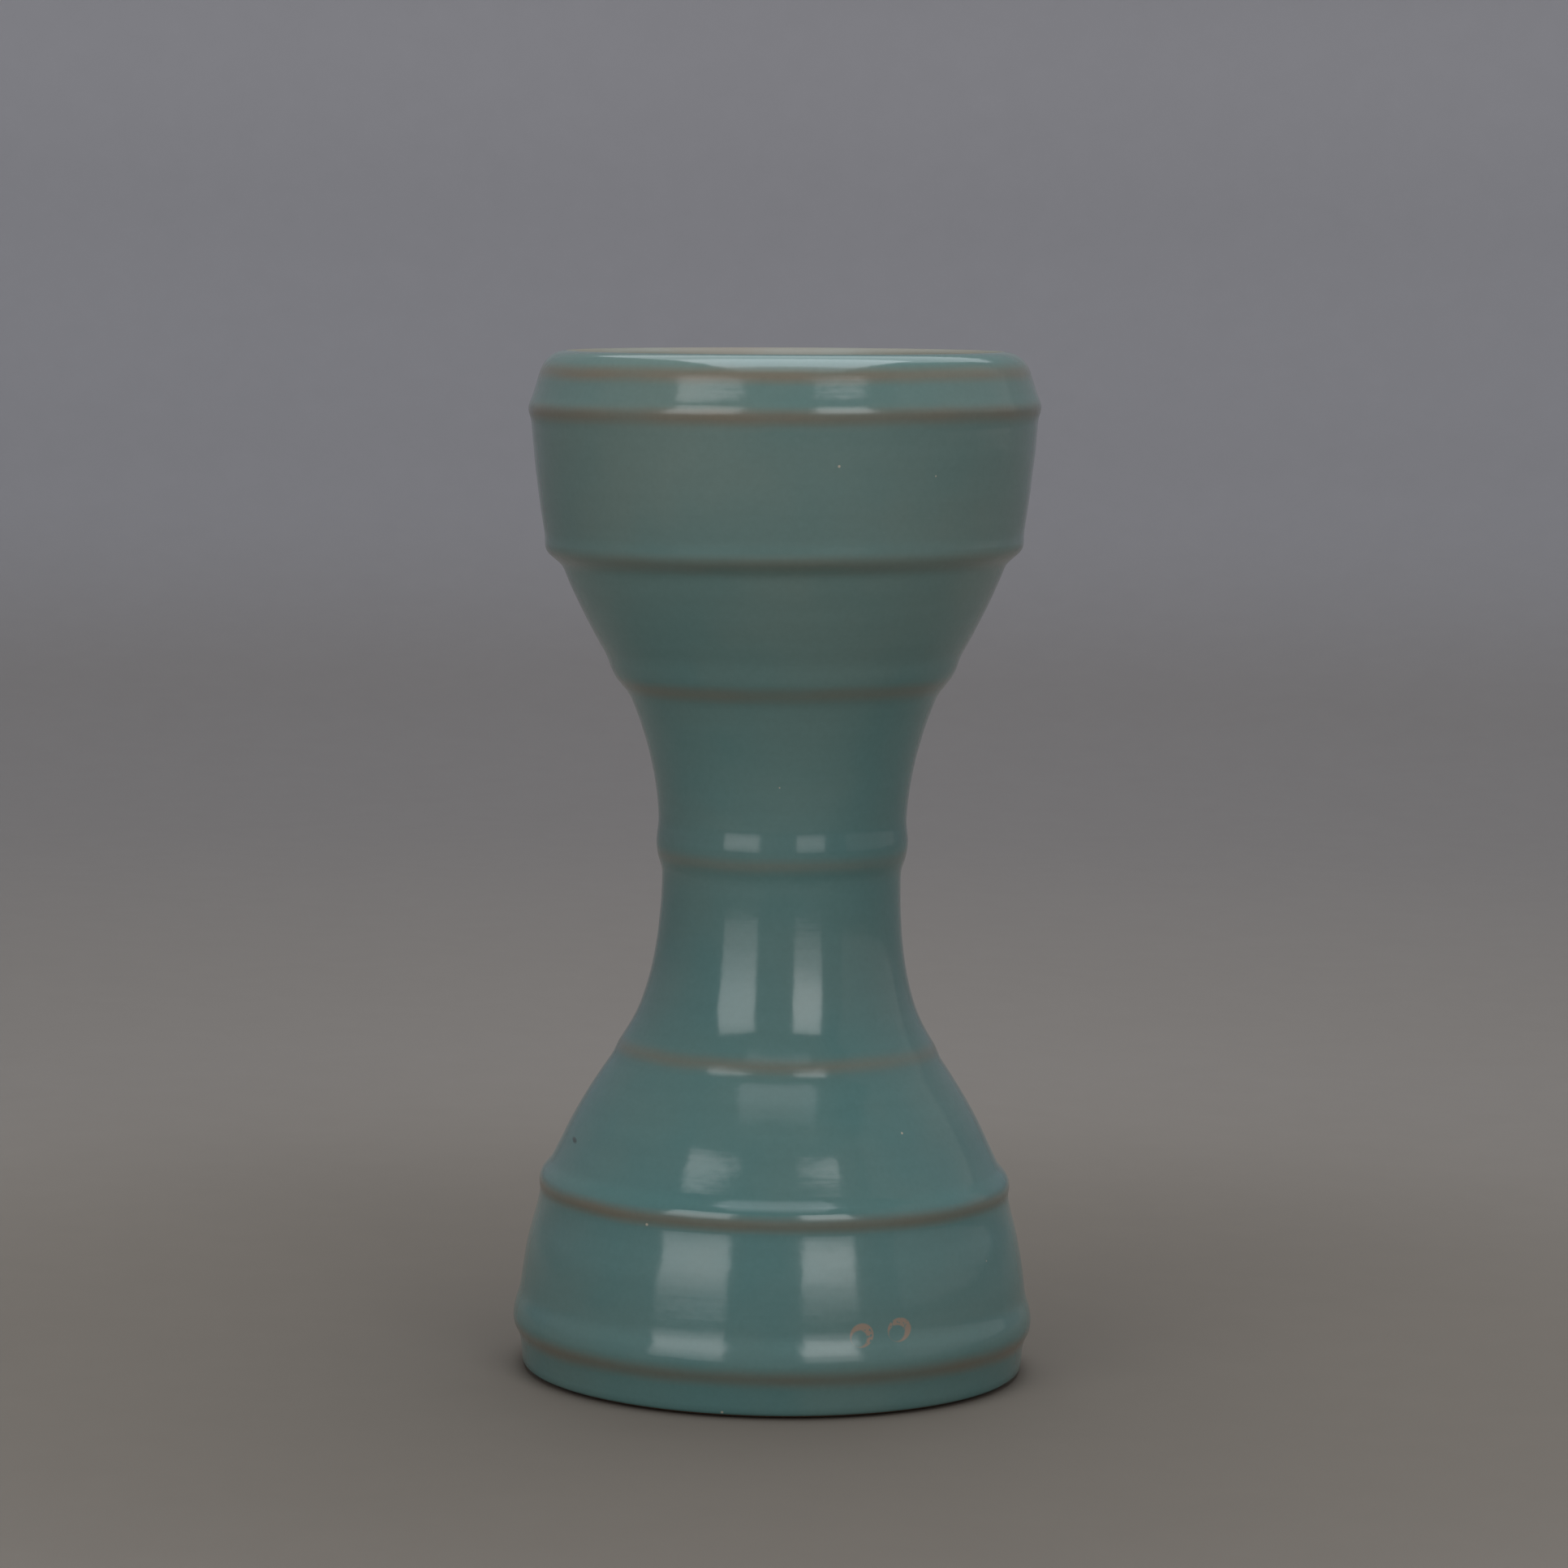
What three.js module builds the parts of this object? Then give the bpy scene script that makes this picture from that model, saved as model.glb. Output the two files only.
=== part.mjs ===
// A gu vase in celadon stoneware: a trumpet mouth, a slender waist and a bell foot, with raised rings between them.
// It is built as such a vase is made: three thrown sections luted with slip, a floor dropped in from above, and glaze.
// Millimetres, +Z up. The origin is the centre of the foot ring's underside.
import * as THREE from 'three';

// Whole vase
const height = 185;
const segments = 36;
const clearance = 0.05;
const glazeThickness = 0.6;

// A place on an outline: a radius from the axis and a height.
const at = (radius, z) => new THREE.Vector2(radius, z);

// The outside of the glazed vase from the foot up. A corner is the point that a curve is pulled towards.
const footBand = { bottom: at(45.8, 1.6), top: at(46.3, 4) };
const footRidge = { corner: at(47.1, 5.9), bottom: at(47.15, 7.8), top: at(47.2, 9.3) };
const footBell = { corner: at(45.75, 21), top: at(43.06, 29) };
const shoulder = { bottom: at(43.1, 31.2), corner: at(42.95, 34.3), top: at(41.2, 36.4) };
const lowerBell = { corner: at(36, 47.4), top: at(29.65, 56.5) };
const lowerRing = { top: at(28.85, 58.5) };
const waistFlare = { corner: at(25.2, 64.6), top: at(24.3, 68) };
const waist = { corner: at(21.65, 77), top: at(21.6, 90) };
const waistRing = { bottom: at(21.72, 91.6), corner: at(22.55, 93.3), crest: at(22.8, 96) };
const waistRingFall = { corner: at(22.7, 98), top: at(22.55, 100) };
const neck = { corner: at(22.75, 111), top: at(27.8, 123) };
const upperRing = { step: at(30, 125.7), corner: at(31, 126.8), top: at(31.9, 130) };
const cup = { corner: at(36.9, 138.6), top: at(39.9, 146.4) };
const cupRing = { step: at(41.7, 148.3), corner: at(42.9, 149.6), top: at(43.05, 152.4) };
const cupWall = { corner: at(44.9, 163.5), top: at(45.45, 172.6) };
const topRing = { corner: at(46.9, 174.9), top: at(45.5, 177.1) };
const collar = { corner: at(44.8, 178.9), top: at(44.55, 181) };
const lip = { crest: at(39.2, height), inner: at(36.8, 181.4) };

// The inside of the glazed vase from the lip down.
const underLip = { corner: at(36.9, 177), bottom: at(39.2, 170) };
const cupInside = { corner: at(39.8, 156), bottom: at(34.6, 147.4) };
const coneInside = { corner: at(27, 134.5), bottom: at(21.4, 122.6) };
const neckInside = { corner: at(17.4, 111), bottom: at(16.4, 98) };
const waistInside = { corner: at(15.6, 82), bottom: at(17.9, 70) };
const flareInside = { corner: at(19.7, 62), bottom: at(25.4, 53.6) };
const bellInside = { corner: at(36.6, 38), bottom: at(38.8, 26) };
const wallFoot = at(39.2, 19);
const floorCorner = { corner: at(38.6, 13.4), bottom: at(33, 12.9) };
const floorMiddle = at(0, 12.4);

// The joints between the sections, and the slip in them
const lowerJoint = 58;
const upperJoint = 123;
const slipThickness = 0.8;

// The unglazed foot ring, the recess inside it, the floor's fillet and the rounded edge of the base glaze
const footRing = { inner: 37.5, outer: 42.5, innerBevel: 0.9, outerBevel: 1.4 };
const recess = { radius: 36.6, ceiling: 7.2 };
const filletTop = 17;
const baseGlazeEdge = { start: at(34.4, 6.6), corner: at(36.3, 6.4), end: at(36.55, 4.4) };

// Curve steps on the glazed surface, on the body hidden under it, and inside
const surfaceSteps = 4;
const bodySteps = 2;
const insideSteps = 2;

// The points of a curve from start to end that is pulled towards a corner, without the start.
function curve(start, corner, end, steps) {
  return new THREE.QuadraticBezierCurve(start, corner, end).getPoints(steps).slice(1);
}

// A quarter of an ellipse up and over to its crown, without the start.
function overTo(side, crown, steps) {
  const centre = at(crown.x, side.y);
  return Array.from({ length: steps }, (_, index) => {
    const angle = ((index + 1) / steps) * (Math.PI / 2);
    const radius = centre.x + (side.x - centre.x) * Math.cos(angle);
    return index + 1 === steps ? crown : at(radius, centre.y + (crown.y - centre.y) * Math.sin(angle));
  });
}

// The outside outline, from the foot band up to the crest of the lip.
function outsideOutline(steps) {
  const few = steps / 2;
  return [
    footBand.bottom,
    footBand.top,
    ...curve(footBand.top, footRidge.corner, footRidge.bottom, few),
    footRidge.top,
    ...curve(footRidge.top, footBell.corner, footBell.top, steps),
    shoulder.bottom,
    ...curve(shoulder.bottom, shoulder.corner, shoulder.top, steps),
    ...curve(shoulder.top, lowerBell.corner, lowerBell.top, steps),
    lowerRing.top,
    ...curve(lowerRing.top, waistFlare.corner, waistFlare.top, steps),
    ...curve(waistFlare.top, waist.corner, waist.top, steps),
    waistRing.bottom,
    ...curve(waistRing.bottom, waistRing.corner, waistRing.crest, few),
    ...curve(waistRing.crest, waistRingFall.corner, waistRingFall.top, few),
    ...curve(waistRingFall.top, neck.corner, neck.top, steps),
    upperRing.step,
    ...curve(upperRing.step, upperRing.corner, upperRing.top, few),
    ...curve(upperRing.top, cup.corner, cup.top, steps),
    cupRing.step,
    ...curve(cupRing.step, cupRing.corner, cupRing.top, few),
    ...curve(cupRing.top, cupWall.corner, cupWall.top, steps),
    ...curve(cupWall.top, topRing.corner, topRing.top, steps),
    ...curve(topRing.top, collar.corner, collar.top, few),
    ...overTo(collar.top, lip.crest, steps + 1),
  ];
}

// The inside outline, from the crest of the lip down to the middle of the floor.
function insideOutline(steps) {
  const crest = at(lip.crest.x - clearance, height);
  const inwards = overTo(lip.inner, crest, steps).reverse();
  return [
    ...inwards,
    lip.inner,
    ...curve(lip.inner, underLip.corner, underLip.bottom, steps),
    ...curve(underLip.bottom, cupInside.corner, cupInside.bottom, steps),
    ...curve(cupInside.bottom, coneInside.corner, coneInside.bottom, steps),
    ...curve(coneInside.bottom, neckInside.corner, neckInside.bottom, steps),
    ...curve(neckInside.bottom, waistInside.corner, waistInside.bottom, steps),
    ...curve(waistInside.bottom, flareInside.corner, flareInside.bottom, steps),
    ...curve(flareInside.bottom, bellInside.corner, bellInside.bottom, steps),
    wallFoot,
    ...curve(wallFoot, floorCorner.corner, floorCorner.bottom, steps),
    floorMiddle,
  ];
}

// The direction of an outline at one of its points. At an end it is level or upright, so that the end stays square.
function direction(outline, index) {
  const isEnd = index === 0 || index === outline.length - 1;
  const before = outline[Math.max(index - 1, 0)];
  const after = outline[Math.min(index + 1, outline.length - 1)];
  const step = after.clone().sub(before);
  if (!isEnd) {
    return step.normalize();
  }
  return Math.abs(step.x) > Math.abs(step.y) ? at(Math.sign(step.x), 0) : at(0, Math.sign(step.y));
}

// The outline moved by a depth into the wall, which lies to the left of both outlines.
function sunk(outline, depth) {
  return outline.map((point, index) => {
    const along = direction(outline, index);
    return at(point.x - along.y * depth, point.y + along.x * depth);
  });
}

// The stretch of an outline between two heights, cut level at each.
function between(outline, low, high) {
  const kept = [];
  outline.forEach((point, index) => {
    const before = outline[Math.max(index - 1, 0)];
    const levels = before.y < point.y ? [low, high] : [high, low];
    for (const level of levels) {
      if ((before.y - level) * (point.y - level) < 0) {
        const share = (level - before.y) / (point.y - before.y);
        kept.push(at(before.x + (point.x - before.x) * share, level));
      }
    }
    if (point.y >= low && point.y <= high) {
      kept.push(point);
    }
  });
  return kept;
}

const bodyDepth = glazeThickness + clearance;
const bodyOutside = sunk(outsideOutline(bodySteps), bodyDepth);
const bodyInside = sunk(insideOutline(insideSteps), bodyDepth);
const halfSlip = slipThickness / 2;

const stoneware = new THREE.MeshStandardMaterial({ color: 0x8a6a52, roughness: 0.85, metalness: 0 });
const slip = new THREE.MeshStandardMaterial({ color: 0xa08468, roughness: 0.9, metalness: 0 });
const celadon = new THREE.MeshStandardMaterial({ color: 0x6c8a84, roughness: 0.12, metalness: 0 });
const thinCeladon = new THREE.MeshStandardMaterial({ color: 0x74786a, roughness: 0.2, metalness: 0 });

// Turns an outline round the axis. An outline that doesn't start on the axis is closed into a ring.
function turned(name, outline, material) {
  const profile = outline[0].x === 0 ? outline : [...outline, outline[0]];
  const geometry = new THREE.LatheGeometry(profile, segments);
  geometry.rotateX(Math.PI / 2);
  const mesh = new THREE.Mesh(geometry, material);
  mesh.name = name;
  return mesh;
}

// The body's wall between two heights, up the outside and down the inside.
function wall(low, high) {
  return [...between(bodyOutside, low, high), ...between(bodyInside, low, high)];
}

function mouthSection() {
  return turned('mouth_section', wall(upperJoint + halfSlip + clearance, height), stoneware);
}

function waistSection() {
  const low = lowerJoint + halfSlip + clearance;
  const high = upperJoint - halfSlip - clearance;
  return turned('waist_section', wall(low, high), stoneware);
}

// The bell foot stands on a flat ring and has a ledge inside for the floor.
function footSection() {
  const high = lowerJoint - halfSlip - clearance;
  const wallRadius = wallFoot.x + bodyDepth;
  const outline = [
    at(footRing.outer, 0),
    at(bodyOutside[0].x, footRing.outerBevel),
    ...between(bodyOutside, footRing.outerBevel, high),
    ...between(bodyInside, wallFoot.y, high),
    at(wallRadius, recess.ceiling),
    at(recess.radius, recess.ceiling),
    at(recess.radius, footRing.innerBevel),
    at(footRing.inner, 0),
  ];
  return turned('foot_section', outline, stoneware);
}

function slipRing(name, joint) {
  return turned(name, wall(joint - halfSlip, joint + halfSlip), slip);
}

// The floor is a slightly dished disc that rests on the ledge of the foot.
function floorDisc() {
  const radius = wallFoot.x + bodyDepth - clearance;
  const underside = recess.ceiling + clearance;
  const rimTop = floorCorner.bottom.y - bodyDepth;
  const outline = [
    at(0, underside),
    at(radius, underside),
    at(radius, rimTop),
    at(floorCorner.bottom.x, rimTop),
    at(0, floorMiddle.y - bodyDepth),
  ];
  return turned('floor_disc', outline, stoneware);
}

// A roll of slip pressed into the corner between the floor and the wall.
function floorFillet() {
  const outer = wallFoot.x + bodyDepth - clearance;
  const bottom = floorCorner.bottom.y - bodyDepth + clearance;
  const outline = [at(outer, bottom), at(outer, filletTop), ...between(bodyInside, bottom, filletTop)];
  return turned('floor_fillet', outline, slip);
}

function outerGlaze() {
  const back = sunk(outsideOutline(bodySteps), glazeThickness).reverse();
  return turned('outer_glaze', [...outsideOutline(surfaceSteps), ...back], celadon);
}

function innerGlaze() {
  const surface = insideOutline(insideSteps);
  const back = sunk(surface, glazeThickness).reverse();
  return turned('inner_glaze', [...back, ...surface], thinCeladon);
}

// The glaze under the floor, which thickens into the corner of the recess.
function baseGlaze() {
  const top = recess.ceiling;
  const { start, corner, end } = baseGlazeEdge;
  const outline = [at(0, start.y), start, ...curve(start, corner, end, insideSteps), at(end.x, top), at(0, top)];
  return turned('base_glaze', outline, celadon);
}

const vase = new THREE.Group();
vase.add(
  mouthSection(),
  waistSection(),
  footSection(),
  slipRing('upper_slip_ring', upperJoint),
  slipRing('lower_slip_ring', lowerJoint),
  floorDisc(),
  floorFillet(),
  outerGlaze(),
  innerGlaze(),
  baseGlaze(),
);

export default vase;
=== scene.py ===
"""A gu vase of thrown stoneware under a celadon glaze that breaks to brown over its raised rings.

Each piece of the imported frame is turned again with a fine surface, a hand-thrown unevenness and a finish
made of nodes, and the vase stands on a pale seamless floor in soft window light.
"""

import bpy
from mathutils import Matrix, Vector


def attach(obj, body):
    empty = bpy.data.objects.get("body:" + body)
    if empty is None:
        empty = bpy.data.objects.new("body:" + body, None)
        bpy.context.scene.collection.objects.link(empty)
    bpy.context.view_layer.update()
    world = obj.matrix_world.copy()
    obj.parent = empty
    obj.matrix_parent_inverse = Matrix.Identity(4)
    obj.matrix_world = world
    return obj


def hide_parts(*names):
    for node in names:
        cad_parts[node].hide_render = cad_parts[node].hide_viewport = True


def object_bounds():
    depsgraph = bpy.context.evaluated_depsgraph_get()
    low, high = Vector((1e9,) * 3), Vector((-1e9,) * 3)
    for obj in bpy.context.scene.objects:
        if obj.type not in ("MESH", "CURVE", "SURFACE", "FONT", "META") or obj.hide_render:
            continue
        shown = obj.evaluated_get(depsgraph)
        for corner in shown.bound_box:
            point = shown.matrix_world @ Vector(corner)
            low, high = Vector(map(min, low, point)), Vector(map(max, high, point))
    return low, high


bl_info = {
    "name": "Celadon Gu Vase",
    "version": (1, 0, 0),
    "blender": (4, 5, 0),
    "location": "View3D > Sidebar > Gu Vase",
    "description": "Turns the clay, slip and glaze of a gu vase and sets it in a plain studio",
    "category": "Add Mesh",
}

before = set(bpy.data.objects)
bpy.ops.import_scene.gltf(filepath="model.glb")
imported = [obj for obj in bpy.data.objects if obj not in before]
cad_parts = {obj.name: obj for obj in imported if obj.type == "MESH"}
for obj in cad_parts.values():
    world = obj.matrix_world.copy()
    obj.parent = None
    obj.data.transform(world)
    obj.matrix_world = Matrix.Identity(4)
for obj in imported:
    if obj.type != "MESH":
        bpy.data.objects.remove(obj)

from math import ceil, cos, hypot, pi, radians, sin, tan

import bmesh
import bpy
from bpy.props import FloatProperty, FloatVectorProperty, IntProperty, PointerProperty
from bpy.types import Operator, Panel, PropertyGroup
from mathutils import Matrix, Vector, noise
from mathutils.geometry import interpolate_bezier

CAD_LOW, CAD_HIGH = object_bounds()
BODY = "root"
MM = 0.001
ORIGIN = (0.0, 0.0, 0.0)
UP = (0.0, 0.0, 1.0)
TOUCHING = 1e-7
TURNED_PLACE = "turned_place"


def at(radius, height):
    """A place on an outline, from a radius and a height in millimetres."""
    return Vector((radius * MM, 0.0, height * MM))


# The height that the outlines are drawn at, in millimetres
DRAWN_HEIGHT = 185

# The outside of the glazed vase from the foot up. A corner is the point that a curve is pulled towards.
GLAZE_EDGE = {"inner": at(44.9, 0.95), "corner": at(45.05, 0.3), "outer": at(45.5, 1.2)}
FOOT_BAND_TOP = at(45.75, 4.3)
FOOT_RIDGE = {"corner": at(45.95, 6.6), "bottom": at(47.05, 7.9), "top": at(47.2, 9.4)}
FOOT_FLARE = {"corner": at(47.2, 10.3), "top": at(46.75, 12.2)}
FOOT_HOLLOW = {"corner": at(46.1, 13.6), "top": at(45.9, 15.3)}
FOOT_BELL = {"corner": at(45.12, 22.6), "top": at(43.5, 28)}
SHOULDER_GROOVE = {"corner": at(42.62, 31.2), "top": at(42.5, 32.8)}
SHOULDER = {"corner": at(43.15, 33.9), "edge": at(42.4, 35.85), "top": at(40.9, 37.4)}
BELL_HOLLOW = {"corner": at(39.94, 39.2), "top": at(38.04, 43.2)}
LOWER_BELL = {"corner": at(34.75, 50), "top": at(29.65, 57.1)}
LOWER_RING_TOP = at(28.85, 59.2)
WAIST_FLARE = {"corner": at(25.45, 64.2), "top": at(24.3, 68.4)}
WAIST = {"corner": at(21.65, 77), "top": at(21.6, 90)}
WAIST_RING = {"bottom": at(21.72, 91.6), "corner": at(22.55, 93.3), "crest": at(22.8, 96)}
WAIST_RING_FALL = {"corner": at(22.72, 97.6), "top": at(22.4, 99.8)}
NECK = {"corner": at(22.75, 111), "top": at(27.8, 123)}
UPPER_RING = {"step": at(30, 125.7), "corner": at(31, 126.8), "top": at(31.9, 130)}
CUP = {"corner": at(36.9, 138.6), "top": at(39.9, 146.4)}
CUP_RING = {"step": at(41.9, 148.1), "corner": at(43.45, 149.1), "top": at(42.98, 151.4)}
CUP_WALL = {"corner": at(44.9, 163.5), "top": at(45.45, 172.6)}
TOP_RING = {"corner": at(46.5, 174.6), "top": at(45.5, 176.2)}
COLLAR = {"corner": at(44.64, 178.8), "top": at(43.88, 181.4)}
LIP = {"corner": at(42.64, 184.8), "crest": at(39.2, DRAWN_HEIGHT), "inner": at(36.8, 181.4)}

# The inside of the glazed vase from the lip down
UNDER_LIP = {"corner": at(36.9, 177), "bottom": at(39.2, 170)}
CUP_INSIDE = {"corner": at(39.8, 156), "bottom": at(34.6, 147.4)}
CONE_INSIDE = {"corner": at(27, 134.5), "bottom": at(21.4, 122.6)}
NECK_INSIDE = {"corner": at(17.4, 111), "bottom": at(16.4, 98)}
WAIST_INSIDE = {"corner": at(15.6, 82), "bottom": at(17.9, 70)}
FLARE_INSIDE = {"corner": at(19.7, 62), "bottom": at(25.4, 53.6)}
BELL_INSIDE = {"corner": at(36.6, 38), "bottom": at(38.8, 26)}
WALL_FOOT = at(39.2, 19)
FLOOR_CORNER = {"corner": at(38.6, 13.4), "bottom": at(33, 12.9)}
FLOOR_MIDDLE = at(0, 12.4)

# The heights of the two joints between the thrown sections
LOWER_JOINT = 58 * MM
UPPER_JOINT = 123 * MM

# The unglazed foot ring, the recess inside it, the top of the slip roll and the glaze in the recess
FOOT_RING = {
    "inner": at(37.5, 0),
    "inner_corner": at(36.7, 0.1),
    "inner_top": at(36.6, 0.9),
    "outer": at(42.5, 0),
    "outer_corner": at(44.4, 0.1),
    "outer_top": at(44.8, 0.8),
}
RECESS = {"wall": at(36.6, 7.2), "middle": at(0, 7.2)}
SLIP_ROLL_TOP = 17 * MM
BASE_GLAZE = {"middle": at(0, 6.6), "start": at(34.4, 6.6), "corner": at(36.3, 6.4), "end": at(36.55, 4.4)}

# The heights in millimetres between which the waist and the mouth lean, the rings come to slope and the lip
# levels out again
WAIST_LEANS = (55, 97)
MOUTH_LEANS = (97, 195)
RINGS_SLOPE = (45, 160)
LIP_LEVELS = (172, DRAWN_HEIGHT)

# The height in millimetres of a wave from the potter's fingers, and the angle from which an edge stays sharp
WAVE_HEIGHT = 5
SHARP_ANGLE = radians(35)

# The brown lines where the glaze runs thin: height and half height in millimetres, and strength
OUTER_LINES = (
    (7.4, 2.3, 1.0),
    (33.7, 2.1, 0.95),
    (59.4, 2.0, 0.65),
    (94.0, 1.9, 0.43),
    (124.9, 2.1, 0.6),
    (148.4, 2.3, 0.45),
    (174.0, 2.4, 1.0),
    (181.4, 2.2, 1.0),
)
LINING_LINES = ((185.0, 6.0, 1.0),)
BASE_LINES = ((5.2, 1.2, 0.9),)

# The height in millimetres at which the ramp that holds these lines ends, a little above the lip, and how
# far the lines wander, as a part of that height
LINES_TOP = 190
LINES_WANDER = 0.006

# The heights in metres between which the glaze turns greyer towards the cup
GREYING = (0.115, 0.157)

# The small faults of the glaze on the front, as places across and up in millimetres
PINHOLES = ((-22.2, 32.4), (9.4, 165.5), (-8.4, 1.1))
IRON_SPECK = (-36, 43)
BURST_BUBBLES = ((15.7, 14.8), (22.3, 15.3))
PINHOLE_COLOUR = (0.55, 0.5, 0.4)
IRON_COLOUR = (0.03, 0.02, 0.015)
BARE_CLAY_COLOUR = (0.37, 0.27, 0.2)

# The colours of the pale grit and of the iron spots in the clay
GRIT_COLOUR = (0.36, 0.25, 0.17)
IRON_SPOT_COLOUR = (0.02, 0.012, 0.009)

# The radii in metres, outer and inner, between which each fault sets in. A burst bubble is a crater with a
# healed round in it, whose middle lies to the left and below by two distances in millimetres.
PINHOLE_EDGE = (0.00032, 0.00012)
SPECK_EDGE = (0.0006, 0.0002)
CRATER_EDGE = (0.0022, 0.0019)
HEALED_EDGE = (0.0016, 0.0012)
HEALED_MIDDLE = (0.45, 0.55)

# The seamless floor in metres: where its rise starts, where its wall stands, how high each of them goes and
# how far apart its points are
SWEEP = {"floor_radius": 0.85, "wall_radius": 1.5, "rise": 0.6, "height": 1.7, "spacing": 0.1}

# The number of the floor's faces round the axis
SWEEP_AROUND = 128

# How light the paper is, as painted shade that is darkest round the vase and painted light that is brightest
# high on the wall, and how cool it is, by the way in metres from the vase along the floor and up the wall,
# and how long that way is
PAPER_PAINTED_SHADING = ((0.12, 0.67), (0.3, 0.81), (1.4, 0.835), (1.6, 0.88), (1.77, 1.0))
PAPER_COOLNESS = ((0.1, 0.0), (0.4, 0.2), (1.12, 0.48), (1.4, 0.95), (1.5, 1.0))
PAPER_END = SWEEP["wall_radius"] + SWEEP["height"]

# The two windows: the angles between which each stands, round to the right from the camera's side, its share
# of the studio's window brightness, and how bright its dim lower pane is
WINDOW_DISTANCE = 0.95
WINDOW_BOTTOM = 0.04
WINDOW_TOP = 0.84
WINDOWS = {
    "left_window": {"from": radians(-53.5), "to": radians(-20.5), "share": 0.92, "lower_pane": 0.62},
    "right_window": {"from": radians(13.5), "to": radians(38.7), "share": 1.08, "lower_pane": 0.42},
}

# Three soft lights, one above the vase, a broad one above and behind it and a dim panel to its right, and
# the tints of their light
OVERHEAD = {"place": (0.02, -0.22, 1.25), "target": (0.02, -0.22, 0.0), "width": 0.95, "height": 1.44}
BACK_LIGHT = {"place": (0.1, 0.75, 1.15), "target": (0.0, 0.0, 0.15), "width": 1.2, "height": 0.8}
SIDE_PANEL = {"place": (0.95, 0.05, 0.5), "target": (0.0, 0.05, 0.3), "width": 1.3, "height": 0.9}
COOL_LIGHT = (0.95, 1.0, 1.06)
WARM_LIGHT = (1.1, 1.0, 0.92)

# How bright the light above is, from its edge on the camera's side to its far edge
OVERHEAD_GLOW = ((0.0, 0.08), (0.17, 0.25), (0.29, 0.35), (0.42, 1.0), (0.83, 1.0), (1.0, 0.5))
ROOM_COLOUR = (1.0, 1.0, 1.0)


class VaseShape(PropertyGroup):
    """The sizes of the vase that are free to change."""

    height: FloatProperty(
        name="Height",
        description="Height of the whole vase, by which every piece is scaled",
        default=CAD_HIGH.z,
        min=0.16,
        max=0.21,
        unit="LENGTH",
    )
    glaze_thickness: FloatProperty(
        name="Glaze thickness",
        description="Thickness of the glaze over the clay",
        default=0.0006,
        min=0.0003,
        max=0.001,
        unit="LENGTH",
    )
    slip_thickness: FloatProperty(
        name="Slip thickness",
        description="Height of the slip in each joint between two thrown sections",
        default=0.0008,
        min=0.0004,
        max=0.002,
        unit="LENGTH",
    )
    clearance: FloatProperty(
        name="Clearance",
        description="Gap between two layers, which keeps them separate pieces",
        default=0.00005,
        min=0.00001,
        max=0.0001,
        unit="LENGTH",
    )
    surface_spacing: FloatProperty(
        name="Surface spacing",
        description="Distance between two points of a glazed outline",
        default=0.0009,
        min=0.0008,
        max=0.005,
        unit="LENGTH",
    )
    hidden_spacing: FloatProperty(
        name="Hidden spacing",
        description="Distance between two points of an outline inside the wall",
        default=0.003,
        min=0.001,
        max=0.01,
        unit="LENGTH",
    )
    around: IntProperty(
        name="Steps around",
        description="Faces round the axis of a glazed surface",
        default=240,
        min=48,
        max=320,
    )
    hidden_around: IntProperty(
        name="Hidden steps around",
        description="Faces round the axis of a piece inside the wall",
        default=120,
        min=36,
        max=240,
    )
    ring_slope: FloatProperty(
        name="Ring slope",
        description="How far the upper rings slope up to the right, as a rise over a run",
        default=0.02,
        min=-0.05,
        max=0.05,
    )
    lip_levelling: FloatProperty(
        name="Lip levelling",
        description="How much of the ring slope the lip loses again",
        default=0.007,
        min=0.0,
        max=0.05,
    )
    waist_lean: FloatProperty(
        name="Waist lean",
        description="How far the waist stands to the right of the foot",
        default=0.00035,
        min=-0.002,
        max=0.002,
        unit="LENGTH",
    )
    mouth_lean: FloatProperty(
        name="Mouth lean",
        description="How far the mouth leans back to the left from the waist",
        default=0.00095,
        min=-0.002,
        max=0.002,
        unit="LENGTH",
    )
    waver: FloatProperty(
        name="Waver",
        description="Depth of the faint waves that the potter's fingers leave",
        default=0.0001,
        min=0.0,
        max=0.0005,
        unit="LENGTH",
    )


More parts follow.
